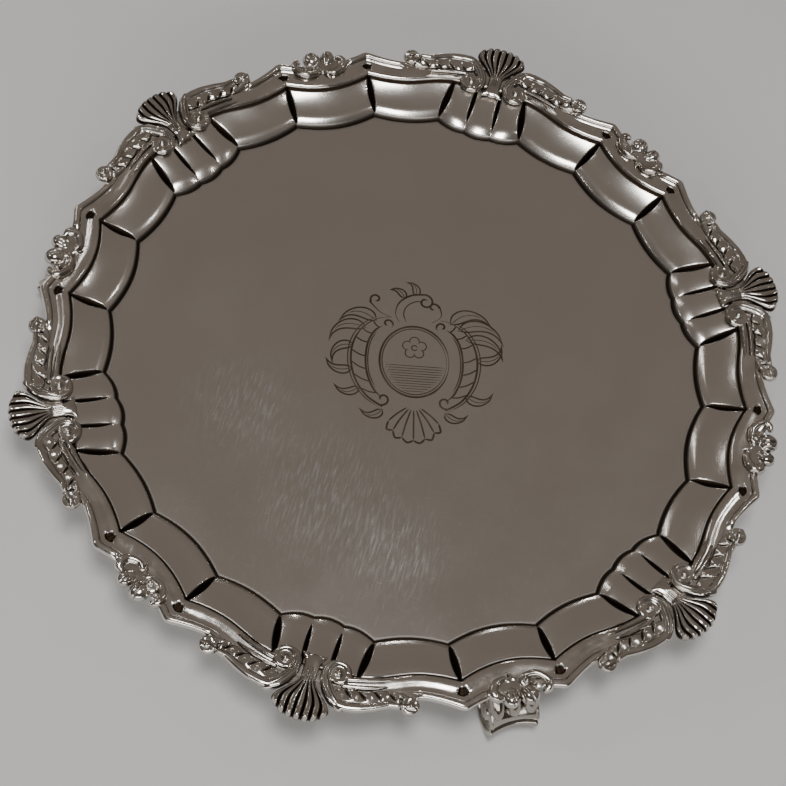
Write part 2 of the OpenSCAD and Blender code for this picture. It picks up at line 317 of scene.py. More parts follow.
ornament = silver("silverOrnament", {              # shells, scrolls and rocailles: darker than the cast silver as painted shade, with more painted shade in their hollows
    "light": (0.70, 0.66, 0.61), "shade": (0.54, 0.50, 0.45), "dark": (0.028, 0.018, 0.012),
    "film": 0.35, "filmColour": (0.50, 0.46, 0.39), "mottle": 110, "rough": (0.10, 0.2),
    "scuff": 0.05, "scuffScale": 1500, "scuffDepth": 0.008, "hammer": 0.05, "hammerScale": 170,
    "recess": 2.0, "recessFrom": 0.3, "recessTo": 0.78,
})
footCast = silver("silverFoot", {                  # the feet: darker than the cast silver, as painted shade under the tray
    "light": (0.50, 0.46, 0.41), "shade": (0.38, 0.345, 0.30), "dark": (0.03, 0.019, 0.012),
    "film": 0.3, "filmColour": (0.42, 0.40, 0.30), "mottle": 90, "rough": (0.13, 0.24),
    "scuff": 0.06, "scuffScale": 1500, "scuffDepth": 0.008, "hammer": 0.05, "hammerScale": 160,
    "recess": 2.4, "recessFrom": 0.25, "recessTo": 0.7,
})
engraved = silver("silverEngraved", {
    "light": (0.16, 0.125, 0.10), "shade": (0.10, 0.075, 0.058), "dark": (0.03, 0.02, 0.013),
    "film": 0.3, "filmColour": (0.22, 0.18, 0.15), "mottle": 60, "rough": (0.3, 0.45),
    "scuff": 0.05, "scuffScale": 1500, "scuffDepth": 0, "hammer": 0, "hammerScale": 100,
})


# The raised sheet: well, panels, flutes and the rim under the border

sheet = {
    "thickness": 1.2, "step": 1.0, "shoulder": 1.7, "shoulderV": 0.27, "stepV": 0.045,
    "channel": 0.32, "channelW": 0.45, "channelAt": 0.2, "edgeDirtAndShade": 1.0, "edgeDirtAndShadeAt": 0.32,
    "crown": 0.7, "pillow": 0.22, "pillowW": 2.6, "cutEnd": 1.06, "cutPower": 0.65,
    "creaseDepth": 1.7, "creaseW": 1.5, "creaseFrom": 0.02, "creaseDirtAndShade": (1.6, 1.1),
    "grooveDepth": 1.0, "grooveW": 0.95, "grooveFrom": 0.14,
    "lineDepth": 0.4, "lineW": 1.35, "lineFade": 0.4,   # the dark line against the border: a shallow groove with painted shade
    "rimInset": 1.6, "rings": (20.0, 60.0, 95.0),  # circles of the mesh inside the well
}


def lens(v, start, end, power):  # 0 at both ends and 1 in the middle
    t = np.clip((v - start) / (end - start), 0, 1)
    return np.sin(np.pi * t) ** power


def sheetSurface(a, v):  # a point of the sheet: v is 0 at the well's edge and 1 at the border
    m = rimAngle(a)
    inner, outer = wellEdge(a), borderIn(m)
    width = outer - inner
    r = inner + width * v
    angle = a + (m - a) * np.clip(v, 0, 1)
    out = np.clip(v, 0, None)
    rise = (sheet["step"] * smooth(out / sheet["stepV"])
            + sheet["shoulder"] * np.sin(np.pi / 2 * np.clip(out / sheet["shoulderV"], 0, 1))
            + (panelRise - sheet["step"] - sheet["shoulder"]) * np.clip(out, 0, 1) ** 2)
    z = wellZ + rise
    d = width * v                                  # distance outside the well's edge
    # painted shade, with tarnish, in a band along the well's edge
    dirtAndShade = np.exp(-((d + sheet["edgeDirtAndShadeAt"]) / sheet["edgeDirtAndShade"]) ** 4)
    z = z - sheet["channel"] * np.exp(-((d + sheet["channelAt"]) / sheet["channelW"]) ** 2)
    swell = np.sin(np.pi * np.clip(v, 0, 1)) ** 0.7
    flute = np.abs(a) < plan["fluteA"]
    z = z + np.where(flute, sheet["crown"] * (0.5 - acrossFlute(a) ** 2) * swell, 0)
    for places, kind in ((creases, "crease"), (fluteGrooves, "groove")):
        start = sheet[kind + "From"]
        for c in places:
            line = c + (rimAngle(c) - c) * np.clip(v, 0, 1)
            s = np.abs(np.radians(angle - line) * r)
            cut = lens(v, start, sheet["cutEnd"], sheet["cutPower"])
            halfW = sheet[kind + "W"] * cut + 0.02
            t = np.clip(s / halfW, 0, 1)
            z = z - sheet[kind + "Depth"] * cut * (1 - t) ** 1.2 * (v > start)
            # painted shade, with tarnish, down the creases and the flutes' grooves
            dirtAndShade = np.maximum(dirtAndShade, smooth((1.12 - s / halfW) * 3.5) * smooth(cut * 3) * (v > start))
            if kind == "crease":                   # the panels sink towards it, and painted shade with tarnish sits at its foot
                z = z - sheet["pillow"] * np.exp(-(s / sheet["pillowW"]) ** 2) * swell
                across, inward = sheet["creaseDirtAndShade"]
                dirtAndShade = np.maximum(dirtAndShade, np.exp(-(s / across) ** 2) * np.exp(-((d + 0.3) / inward) ** 2))
    # painted shade, with tarnish, in the groove against the border
    under = smooth((d - width + sheet["lineW"]) / sheet["lineFade"])
    z = z - sheet["lineDepth"] * under * (v <= 1)
    dirtAndShade = np.maximum(dirtAndShade, under)
    return polar(r, angle, z), np.clip(dirtAndShade, 0, 1)


# The engraving on the well: a cartouche of scrolls and leaves round a plain oval

cutting = {
    "centre": (2.7, -1.5), "up": 104, "lift": 0.012, "ridge": 0.03,
    "outline": 0.8, "fine": 0.44, "hatch": 0.3, "oval": (13.5, 15.5, 0, 1.5), "ovals": (1, 0.93),
    "hatches": 11, "hatchStep": 1.1, "petals": 5, "roseUp": 6, "roseR": 2.9, "petalR": 1.9,
    "rungs": 7, "outer": ((10, 20.5), (14.5, 19.5), (20, 15.5), (23.6, 9), (24.6, 1), (22.8, -7.5),
                          (18.4, -14.5), (12.6, -18.6)),
    "inner": ((12.5, 16.4), (15.4, 14.2), (17.9, 9.4), (18.9, 2.4), (18.2, -5), (15.6, -11.6), (12.4, -15)),
    "ribs": 7, "ribStep": 17, "shellY": -17, "reach": 15.5, "reachDrop": 0.35,
    "crest": ((-6, 18.6), (-7.6, 22.4), (-6.2, 27.4), (-1.6, 31), (3.6, 31.8)),
    "crestInside": ((-3.4, 18.8), (-4.4, 22.6), (-3, 26.2), (0.4, 28.4), (3.4, 28.2)),
    "crestRight": ((7, 19.4), (10.4, 22.4), (9.8, 26.6)),
    "crestLeft": ((-9, 20.4), (-13.6, 22.6), (-17.6, 26.8)),
    # x, y, aim, length, bend and width of each leaf
    "leaves": ((14, 19, 48, 17, -0.9, 2.6), (17, 16.5, 28, 19, -0.8, 2.4), (20, 12.5, 10, 17, -0.7, 2.1),
               (24, 4, -8, 13, 0.8, 1.8), (-15, 18.5, 140, 15, 0.8, 2.4), (-19, 15, 160, 16, 0.8, 2.2),
               (-23.5, 7, 176, 12, 0.9, 1.8), (-24, -3, 200, 11, -0.7, 1.8), (-21, -11, 222, 10, -0.8, 1.6),
               (20, -12, -40, 11, 0.9, 1.8), (12, -20, -52, 9, 0.9, 1.6), (-12, -20, 232, 9, -0.9, 1.6),
               (0, 31, 70, 7, 0.9, 1.5), (-4, 29.5, 110, 7, 0.7, 1.4)),
}


def cutLine(path, width):  # a line that thins towards its ends
    p = along([(x, y, 0) for x, y in path], 8)
    t = np.linspace(0, 1, len(p))
    p[:, 2] = width / 2 * np.clip(np.sin(np.pi * np.clip(t, 0.02, 0.98)) * 2.2, 0.25, 1)
    return p


def spiral(x, y, startAngle, turns, fromRho, toRho, points=14):
    return [(row[0], row[1]) for row in curl(x, y, startAngle, turns, fromRho, toRho, 1, 1, points)]


def ladderScroll(side, s):  # a C-scroll beside the oval, with rungs between its two lines
    outer, inner = list(s["outer"]), list(s["inner"])
    lines = [(outer + spiral(12, -15.6, -80, -0.9, 2.8, 0.8), s["outline"]),
             ([(9, 16)] + spiral(10.6, 17.6, 200, -0.8, 2.2, 0.7), s["outline"]),
             (inner, s["outline"]),
             ([(x * 1.05, y * 1.04) for x, y in outer[1:]], s["fine"]),
             ([(x * 0.955, y * 0.97) for x, y in inner[1:-1]], s["fine"])]
    a, b = along([(*q, 0) for q in outer[1:-1]], 8), along([(*q, 0) for q in inner], 8)
    for i in range(s["rungs"]):
        t = (i + 0.7) / (s["rungs"] + 0.4)
        p, q = a[int(t * (len(a) - 1))], b[int(t * (len(b) - 1))]
        middle = ((p[0] + q[0]) / 2, (p[1] + q[1]) / 2 - 0.5)
        lines.append(([(p[0], p[1]), middle, (q[0], q[1])], s["fine"] * 1.3))
    return [([(side * x, y) for x, y in path], w) for path, w in lines]


def leaf(x, y, aim, length, bend, width):  # a curved leaf: two edges and a vein
    a = math.radians(aim)
    lines = []
    for side, reach in ((-1, 1), (1, 1), (0, 0.8)):
        rows = []
        for i in range(7):
            t = i / 6 * reach
            turn = a + bend * t * t
            off = side * width * math.sin(math.pi * t ** 0.7) * (1 if side else 0)
            rows.append((x + length * t * math.cos(turn) - off * math.sin(turn),
                         y + length * t * math.sin(turn) + off * math.cos(turn)))
        lines.append((rows, cutting["outline"] * 0.8 if side else cutting["hatch"]))
    return lines


def engravingLines():
    s = cutting
    rx, ry, ox, oy = s["oval"]
    lines = []
    for share, w in zip(s["ovals"], (s["outline"], s["fine"])):
        lines.append(([(ox + rx * share * math.cos(a), oy + ry * share * math.sin(a))
                       for a in np.linspace(0, 2 * math.pi, 25)], w))
    for i in range(s["hatches"]):                  # level hatching in the lower part of the oval
        y = oy - 2 - s["hatchStep"] * i
        x = rx * 0.9 * math.sqrt(max(0, 1 - ((y - oy) / (ry * 0.9)) ** 2))
        lines.append(([(ox - x, y), (ox, y), (ox + x, y)], s["hatch"]))
    roseY, turn = oy + s["roseUp"], 360 / s["petals"]
    for i in range(s["petals"]):                   # a small rose over it
        a = math.radians(90 + turn * i)
        lines.append((spiral(ox + s["roseR"] * math.cos(a), roseY + s["roseR"] * math.sin(a),
                             turn * i - 30, 0.67, s["petalR"], s["petalR"], 8), s["fine"]))
    lines.append((spiral(ox, roseY, 0, 1, 1.1, 1.1, 8), s["fine"]))
    for side in (-1, 1):
        lines += ladderScroll(side, s)
    middle = (s["ribs"] - 1) / 2
    step = math.radians(s["ribStep"])
    for i in range(s["ribs"]):                     # the shell at the foot, and its edge from rib to rib
        a = math.radians(-90 + (i - middle) * s["ribStep"])
        b = a - step
        reach, last = (s["reach"] - s["reachDrop"] * (j - middle) ** 2 for j in (i, i - 1))
        x0, y0 = 3.4 * math.cos(a), s["shellY"] + 2.6 * math.sin(a)
        tip = (reach * math.cos(a), s["shellY"] + reach * math.sin(a))
        lines.append(([(x0, y0), ((x0 + tip[0]) / 2 * 1.08, (y0 + tip[1]) / 2), tip], s["outline"] * 0.8))
        if i:
            mid = (a + b) / 2
            top = max(reach, last) + 1.1
            lines.append(([(last * math.cos(b), s["shellY"] + last * math.sin(b)),
                           (top * math.cos(mid), s["shellY"] + top * math.sin(mid)), tip], s["outline"]))
    lines.append((list(s["crest"]) + spiral(4.2, 28.4, 78, -1.1, 3.3, 1.0), s["outline"]))
    lines.append((s["crestInside"], s["fine"]))
    lines.append((list(s["crestRight"]) + spiral(7.4, 26.2, 5, 0.8, 2.2, 0.8), s["outline"]))
    lines.append((list(s["crestLeft"]) + spiral(-15.4, 28.4, 215, -0.9, 2.4, 0.8), s["outline"]))
    for row in s["leaves"]:
        lines += leaf(*row)
    return lines


def engravingMesh(start):  # thin ribbons on the face of the well
    s = cutting
    cx, cy = s["centre"]
    c, n = math.cos(math.radians(s["up"] - 90)), math.sin(math.radians(s["up"] - 90))
    points, faces = [], []
    for path, width in engravingLines():
        rows = cutLine(path, width)
        run = np.gradient(rows[:, :2], axis=0)
        run /= np.maximum(np.hypot(run[:, 0], run[:, 1]), 1e-6)[:, None]
        across = np.stack([-run[:, 1], run[:, 0]], axis=1) * rows[:, 2:3]
        first = start + len(points)
        for p, w in zip(rows[:, :2], across):
            for q, z in ((p - w, s["lift"]), (p, s["ridge"]), (p + w, s["lift"])):
                points.append((cx + q[0] * c - q[1] * n, cy + q[0] * n + q[1] * c, wellZ + z))
        for i in range(len(rows) - 1):
            for j in (0, 1):
                a = first + 3 * i + j
                faces.append((a, a + 3, a + 4, a + 1))
    return points, faces


def makeSheet():
    fine = (0, 0.07, 0.16, 0.27, 0.38, 0.5, 0.62, 0.75, 0.9)  # degrees from a crease or groove
    half = plan["sector"] / 2
    inSector = stations(-half, half, 0.9, creases + fluteGrooves, fine)[:-1]
    v = np.concatenate([[-0.25, -0.15, -0.1, -0.07, -0.055, -0.042, -0.03, -0.018, -0.006],  # well's edge
                        [0.004, 0.013, 0.022, 0.032, 0.043, 0.056, 0.075], np.linspace(0.1, 0.86, 21),
                        [0.88, 0.895, 0.91, 0.925, 0.945, 0.97, 1.0]])                       # border
    rows, dirtAndShade = [], []
    for k in range(5, -1, -1):
        for a in inSector:
            points, t = sheetSurface(np.full(len(v), a), v)
            m = float(rimAngle(a))
            turned = np.radians(shellAngle(k))
            outR = float(borderOut(m)) - sheet["rimInset"]
            rim = polar(np.array([float(borderIn(m)) + 0.3, outR]), m, rimZ)
            disc = polar(np.array(sheet["rings"]), a, wellZ)
            row = np.concatenate([disc, points, rim])
            c, s = math.cos(turned), math.sin(turned)
            row = row @ np.array([[c, s, 0], [-s, c, 0], [0, 0, 1]])
            rows.append(row)
            dirtAndShade.append(np.concatenate([[0, 0, 0], t, [1, 0]]))
    top = np.array(rows)
    n, m = top.shape[:2]
    keep = list(range(3)) + list(range(3, m, 3)) + [m - 1]
    bottom = top[:, keep].copy()
    bottom[..., 2] -= sheet["thickness"]
    points = np.concatenate([top.reshape(-1, 3), bottom.reshape(-1, 3),
                             [[0, 0, wellZ], [0, 0, wellZ - sheet["thickness"]]]])
    start, cols = n * m, len(keep)
    faces = gridFaces(n, m, True, flip=True) + gridFaces(n, cols, True, start)
    for i in range(n):
        j = (i + 1) % n
        faces.append((j * m + m - 1, i * m + m - 1, start + i * cols + cols - 1, start + j * cols + cols - 1))
        faces.append((n * m + n * cols, i * m, j * m))
        faces.append((n * m + n * cols + 1, start + j * cols, start + i * cols))
    plain = len(faces)
    lines, lineFaces = engravingMesh(len(points))
    tarnishAndShade = np.concatenate([np.array(dirtAndShade).ravel(), np.zeros(n * cols + 2 + len(lines))])
    obj = addObject("sheet", np.concatenate([points, lines]), faces + lineFaces, tarnishAndShade, 50)
    obj.data.materials.append(polished)
    obj.data.materials.append(engraved)
    obj.data.polygons.foreach_set("material_index", [0] * plain + [1] * (len(obj.data.polygons) - plain))
    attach(obj, "root")
    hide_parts("tray")


makeSheet()
print("sheet made")


# The cast moulding: six sections, from the axis of one shell to the next

moulding = {
    # share of the width, height over the sheet's rim: a broad band, a hollow and a fat outer roll
    "section": ((0, -0.5), (0, 0.2), (0.02, 0.58), (0.06, 0.9), (0.12, 1.12), (0.2, 1.2), (0.3, 1.12),
                (0.4, 0.94), (0.5, 0.82), (0.58, 0.86), (0.64, 1.05), (0.675, 1.28), (0.692, 1.3),
                (0.704, 1.26), (0.716, 1.5), (0.745, 1.96), (0.79, 2.3), (0.85, 2.45), (0.91, 2.36),
                (0.96, 2.0), (0.99, 1.5), (1, 0.9), (0.995, 0.2), (0.97, -0.4), (0.93, -0.6),
                (0.87, -0.55), (0.84, 0), (0.4, 0), (0, -0.5)),
    "crown": 22,                                   # the rows of the section up to here are its top
    "hollow": 0.8, "hollowAt": 0.36, "hollowShare": 0.17, "hollowW": 1.8,
    "round": 0.55, "quirkAt": 0.704, "quirkW": 0.014, "seatGap": 0.15, "footDirtAndShade": 0.7,
    "scrollTo": 16.2, "rocailleFrom": 25.2, "shellTo": 5.2,   # angles over which an ornament covers it
}


def makeMoulding():
    crown = along([(*row, 0) for row in moulding["section"][:moulding["crown"]]], 3)
    rest = np.array([(*row, 0) for row in moulding["section"][moulding["crown"]:]])
    shares, heights, _ = np.concatenate([crown, rest]).T
    half = plan["sector"] / 2
    fromShell = stations(0, half, 0.55, (plan["cornerA"],), (0, 0.05, 0.12, 0.22, 0.34, 0.48, 0.64, 0.8))
    angles = np.concatenate([-fromShell, -plan["sector"] + fromShell[::-1][1:]])
    rows, dirtAndShade = [], []
    for a in angles:
        g = abs(a) if abs(a) <= half else plan["sector"] - abs(a)
        near = g + np.linspace(-moulding["round"], moulding["round"], 9)
        inner, outer = float(borderIn(g)), float(np.mean(borderOut(near)))
        r = inner + (outer - inner) * shares
        side = np.radians(g - plan["cornerA"]) * r
        across = (shares - moulding["hollowAt"]) / moulding["hollowShare"]
        top = (shares > 0.05) & (np.arange(len(shares)) < len(crown))
        wide = moulding["hollowW"] * (1 + 0.45 * across)
        pit = smooth((1 - np.abs(across)) * 3) * top
        pit = pit * smooth((1 - np.abs(side) / np.maximum(wide, 0.1)) * 2.4)
        lowered = np.minimum(heights, seatZ - rimZ - moulding["seatGap"])
        under = np.maximum(smooth((moulding["scrollTo"] - g) / 1.2) * smooth((shares - 0.45) / 0.15),
                           smooth((g - moulding["rocailleFrom"]) / 1.2) * smooth((shares - 0.4) / 0.15))
        under = np.maximum(under, smooth((moulding["shellTo"] - g) / 0.8))
        z = rimZ + heights + (lowered - heights) * under - moulding["hollow"] * pit
        rows.append(polar(r, a, z))
        # painted shade, with tarnish, in the quirk, in the pits and along the foot against the sheet
        quirk = np.exp(-((shares - moulding["quirkAt"]) / moulding["quirkW"]) ** 2)
        foot = moulding["footDirtAndShade"] * (heights < 0.3) * (np.arange(len(shares)) < len(crown))
        dirtAndShade.append(np.clip(np.maximum.reduce([quirk * top, smooth(pit * 5), foot]), 0, 1))
    grid = np.array(rows)
    n, m = grid.shape[:2]
    faces = gridFaces(n, m, False) + [tuple(range(m - 1))[::-1], tuple((n - 1) * m + j for j in range(m - 1))]
    obj = addObject("moulding", grid.reshape(-1, 3), faces, np.array(dirtAndShade).ravel(), 40)
    obj.data.materials.append(cast)
    return obj


copyAround(makeMoulding(), "moulding", 6, "border")
print("mouldings made")


# Cast ornaments, built as reliefs on the seat. Each has its axis along +X

def stroke(x, y, path, lift=0.0, flat=1.0, steps=10):  # rows of a path: x, y, radius
    p = along(path, steps)
    best = np.full(x.shape, -1e9)
    height, share, across = np.full(x.shape, -9.0), np.zeros(x.shape), np.zeros(x.shape)
    for i, (a, b) in enumerate(zip(p, p[1:])):
        dx, dy = b[0] - a[0], b[1] - a[1]
        t = np.clip(((x - a[0]) * dx + (y - a[1]) * dy) / (dx * dx + dy * dy + 1e-9), 0, 1)
        ox, oy = x - a[0] - t * dx, y - a[1] - t * dy
        d = np.hypot(ox, oy)
        r = a[2] + (b[2] - a[2]) * t
        near = r - d > best
        best = np.where(near, r - d, best)
        height = np.where(near, lift + flat * np.sqrt(np.clip(r * r - d * d, 0, None)), height)
        share = np.where(near, (i + t) / (len(p) - 1), share)
        across = np.where(near, np.sign(dx * oy - dy * ox) * d / r, across)
    return best, np.where(best > 0, height, -9), share, across


def at(r, a, radius):  # a row of a path from its distance and its angle
    return (r * math.cos(math.radians(a)), r * math.sin(math.radians(a)), radius)


def blur(field, times):
    for axis in (0, 1) * times:
        field = (np.roll(field, 1, axis) + 2 * field + np.roll(field, -1, axis)) / 4
    return field


backDirtAndShade, edgeDirtAndShade = 0.3, 0.25                     # painted shade, with tarnish, on the back of a casting and at its edge on the seat


def castRelief(name, s, shape):  # shape gives the depth inside the outline, the height, and the tarnish with painted shade
    xs = np.arange(s["x"][0], s["x"][1], s["cell"])
    ys = np.arange(s["y"][0], s["y"][1], s["cell"])
    x, y = np.meshgrid(xs, ys, indexing="ij")
    inside, height, dirtAndShade = shape(x, y)
    height = np.clip(height, 0, None)
    if s.get("soften"):
        height = blur(height, s["soften"])
    # painted shade, with tarnish, where the relief lies lower than around it
    crowd = blur(height, 8) - height
    dirtAndShade = np.clip(np.maximum(smooth(crowd / s["recess"]), dirtAndShade), 0, 1)
    points, tarnishAndShade, corners, cuts, faces = [], [], {}, {}, []

    def corner(i, j):
        if (i, j) not in corners:
            corners[i, j] = len(points)
            points.append((x[i, j], y[i, j], seatZ + height[i, j]))
            points.append((x[i, j], y[i, j], seatZ - min(s["under"], 0.8 * inside[i, j])))
            tarnishAndShade.extend((dirtAndShade[i, j], backDirtAndShade))
        return corners[i, j]

    def cut(p, q):
        key = (min(p, q), max(p, q))
        if key not in cuts:
            t = inside[p] / (inside[p] - inside[q])
            cuts[key] = len(points)
            points.append((x[p] + (x[q] - x[p]) * t, y[p] + (y[q] - y[p]) * t, seatZ))
            tarnishAndShade.append(edgeDirtAndShade)
        return cuts[key]

    for i in range(len(xs) - 1):
        for j in range(len(ys) - 1):
            ring = ((i, j), (i + 1, j), (i + 1, j + 1), (i, j + 1))
            if max(inside[c] for c in ring) <= 0:
                continue
            top, back = [], []
            for p, q in zip(ring, ring[1:] + ring[:1]):
                if inside[p] > 0:
                    top.append(corner(*p))
                    back.append(corner(*p) + 1)
                if (inside[p] > 0) != (inside[q] > 0):
                    top.append(cut(p, q))
                    back.append(cut(p, q))
            if len(top) > 2:
                faces.append(tuple(top))
                faces.append(tuple(back[::-1]))
    obj = addObject(name, points, faces, tarnishAndShade, 60)
    obj.data.materials.append(ornament)
    return obj


def roundEdge(inside, width):
    t = 1 - np.clip(inside / width, 0, 1)
    return np.sqrt(np.clip(1 - t * t, 0, 1))


def joined(x, y, strokes):  # several strokes as one relief: rows of path, lift, flat
    inside, height = np.full(x.shape, -1e9), np.zeros(x.shape)
    for path, lift, flat in strokes:
        f, h, _, _ = stroke(x, y, path, lift, flat)
        inside, height = np.maximum(inside, f), np.maximum(height, h)
    return inside, height


def spot(x, y, radius):  # the path of a round boss
    return [(x, y, radius), (x + 0.05, y, radius)]


def notch(x, y, start, end, halfW):  # 1 in the middle of a short cut and 0 outside it
    middle = ((start[0] + end[0]) / 2, (start[1] + end[1]) / 2)
    path = [(*start, halfW * 0.7), (*middle, halfW), (*end, halfW * 0.5)]
    return smooth(stroke(x, y, path, steps=4)[0] / halfW * 1.6)


# Scallop shell

shellForm = {
    "x": (126.8, 153.2), "y": (-11.4, 11.4), "cell": 0.19, "recess": 0.4, "under": 1.3,
    "baseX": 127.5, "baseStep": 3.4, "baseW": 1.9, "neckW": 2.7, "fanW": 7.5, "fanFrom": 136.4,
    "fanLength": 10.5, "ribs": 7, "lobe": 0.6, "drop": 4.6, "knob": 0.4, "edge": 1.3, "neckEdge": 1.4,
    "grooveFrom": 137.6, "grooveDepth": 1.25, "grooveDirtAndShade": 0.46, "neckGroove": 0.3,
    "spineX": (127, 129, 132, 136, 140, 144, 148, 150, 153),
    "spineZ": (0.9, 1.25, 1.4, 1.5, 2.0, 2.6, 3.0, 3.0, 2.4),
}


def shellShape(x, y):
    s = shellForm
    fan = smooth((x - s["fanFrom"]) / s["fanLength"])
    halfW = s["neckW"] + s["baseW"] * np.exp(-((x - 127.4) / 2.4) ** 2) + s["fanW"] * fan
    t = y / halfW
    rib = (t + 1) / 2 * s["ribs"]
    u = 2 * (rib - np.floor(rib)) - 1
    reach = tipR - s["drop"] * np.abs(t) ** 2.6 - s["lobe"] * u ** 2
    share = y / s["baseStep"]
    base = s["baseX"] + 0.35 * (2 * np.abs(share - np.round(share))) ** 2
    inside = np.minimum(np.minimum((halfW - np.abs(y)) * 0.85, reach - x), x - base)
    spine = np.interp(x, s["spineX"], s["spineZ"])
    rib = np.sqrt(np.clip(1 - np.abs(u) ** 2.4, 0, 1))
    faint, deep = s["neckGroove"], 1 - s["neckGroove"]
    depth = s["grooveDepth"] * (faint * smooth((x - 130.5) / 3) + deep * smooth((x - s["grooveFrom"]) / 4))
    knob = s["knob"] * np.exp(-((reach - x - 1.3) / 1.0) ** 2) * rib
    dome = spine * (1 - 0.14 * t * t) - depth * (1 - rib) + knob
    # painted shade, with tarnish, in the grooves between the ribs
    dirtAndShade = smooth((np.abs(u) - s["grooveDirtAndShade"]) * 6)
    dirtAndShade = dirtAndShade * (faint * smooth((x - 131.5) / 3) + deep * smooth((x - s["grooveFrom"] + 1) / 2))
    edge = s["edge"] + s["neckEdge"] * smooth((139 - x) / 3)
    return inside, dome * roundEdge(inside, edge), dirtAndShade


shell = castRelief("shell", shellForm, shellShape)
copyAround(shell, "shell", 6, "shell", lean=plan["lean"])
print("shells made")


# Foliate scrolls: a leafy body with a rolled rim, a ball at its thin end, and a volute beside the shell

scrollForm = {
    "x": (126.6, 146.4), "y": (2.6, 41.5), "cell": 0.19, "recess": 0.32, "under": 1.0,
    "outA": (4, 5, 6, 7, 8, 9, 10, 11, 12, 13.5),
    "outR": (143.6, 145.1, 145.5, 145.3, 145, 144.4, 143.75, 143, 142.2, 142.2),
    "inA": (4, 5.9, 8.3, 10, 11.8, 13.5), "inR": (138.6, 137, 137.2, 136.3, 135.8, 137.4),
    "endA": (3.6, 13.6), "leafZ": 1.45, "leafSwell": 0.22, "wave": 0.22, "soften": 2,
    "rimShare": 0.79, "rimW": 0.22, "rimBase": 1.0, "rimRise": 1.15, "beadShare": 0.585, "beadW": 0.035,
    "slots": 4, "slotFrom": 5.75, "slotStep": 2.15, "slotW": 0.55, "slotDepth": 0.8,
    "band": ((144.0, 13.0, 1.4), (142.4, 11.0, 2.0), (140.2, 8.7, 2.2), (137.2, 6.7, 2.1), (134.4, 5.4, 1.8),
             (131.4, 5.5, 1.55), (129.2, 7.0, 1.4), (128.4, 9.6, 1.25), (129.4, 12.1, 1.15),
             (131.9, 13.3, 1.05), (134.3, 12.2, 1.0), (135.1, 9.9, 0.85), (134.2, 8.2, 0.6)),
    "bandLines": (-0.42, 0.2), "lineW": 0.09, "lineDepth": 0.55,
    # reeds that leave the volute, and a leaf at the ball: distance, angle and radius
    "reeds": (((133.9, 5.6, 1.1), (133.3, 7.2, 1.15), (132.7, 9.2, 1.0), (132.1, 11, 0.8),
               (131.7, 12.4, 0.3)),
              ((136.3, 5.2, 0.9), (135.9, 7.3, 0.95), (135.2, 9.7, 0.85), (134.4, 11.6, 0.35))),
    "endLeaf": ((137.5, 14.2, 1.3), (136.6, 13.2, 0.9), (136.2, 12.2, 0.4)),
    "eye": (132.3, 9.6), "ballA": 15, "ballR": 140.6,
}


def scrollBody(x, y):
    s = scrollForm
    r, a = np.hypot(x, y), np.degrees(np.arctan2(y, x))
    outR = np.interp(a, s["outA"], s["outR"])
    phase = (a - s["slotFrom"]) / s["slotStep"]
    inR = np.interp(a, s["inA"], s["inR"]) + s["wave"] * np.cos(2 * np.pi * phase)
    q = (r - inR) / (outR - inR)
    mmPerDegree = 2.4
    inside = np.minimum.reduce([outR - r, r - inR, (a - s["endA"][0]) * mmPerDegree,
                                (s["endA"][1] - a) * mmPerDegree])
    roll = np.sqrt(np.clip(1 - ((q - s["rimShare"]) / s["rimW"]) ** 2, 0, 1))
    swell = np.cos(2 * np.pi * phase + np.pi) * np.clip(1 - ((q - 0.32) / 0.3) ** 2, 0, 1)
    leafTop = (s["leafZ"] + s["leafSwell"] * swell) * np.clip(1 - np.clip(0.25 - q, 0, 1) * 1.6, 0, 1)
    height = np.maximum(leafTop, s["rimBase"] + s["rimRise"] * roll)
    # painted shade, with tarnish, along the bead line, and below in the slots
    dirtAndShade = 0.45 * np.exp(-((q - s["beadShare"]) / s["beadW"]) ** 2) * smooth((a - 5) * 2)
    height = height - 0.5 * dirtAndShade
    for i in range(s["slots"]):
        a0 = s["slotFrom"] + i * s["slotStep"]
        start = at(np.interp(a0, s["inA"], s["inR"]) + 0.3, a0 - 0.25, 0)[:2]
        end = at(np.interp(a0, s["inA"], s["inR"]) + 3.2, a0 + 0.75, 0)[:2]
        cut = notch(x, y, start, end, s["slotW"])
        height = height - s["slotDepth"] * cut
        dirtAndShade = np.maximum(dirtAndShade, cut)
    return inside, height, dirtAndShade


def scrollShape(x, y):
    s = scrollForm
    inside, height, dirtAndShade = scrollBody(x, y)
    f, h, share, across = stroke(x, y, s["band"], 0.35, 0.95)
    lines = sum(np.exp(-((across - place) / s["lineW"]) ** 2) for place in s["bandLines"])
    lines = lines * smooth(share * 8) * smooth((0.62 - share) * 6)
    inside, height = np.maximum(inside, f), np.where(h > height, h - s["lineDepth"] * lines, height)
    # painted shade, with tarnish, in the lines of the band
    dirtAndShade = np.where((f > 0) & (h >= height - 0.6), 0.85 * lines, dirtAndShade)
    bx, by, _ = at(s["ballR"], s["ballA"], 0)
    leaves = [([at(*row) for row in path], 0.3, 0.9) for path in (*s["reeds"], s["endLeaf"])]
    eye = [(spot(*s["eye"], 1.3), 1.0, 1.0), (spot(*s["eye"], 3.6), 0.0, 0.1)]
    ball = [(curl(bx, by, -95, 1.0, 2.6, 2.6, 0.95, 0.95), 0.6, 1.1), (spot(bx, by, 3.0), 0.0, 0.2),
            (spot(bx + 0.2, by + 0.35, 1.25), 1.1, 1.1)]
    f, h = joined(x, y, leaves + eye + ball)
    inside = np.maximum(inside, f)
    return inside, np.maximum(height, h) * roundEdge(inside, 0.5), np.where(h > height, 0, dirtAndShade)


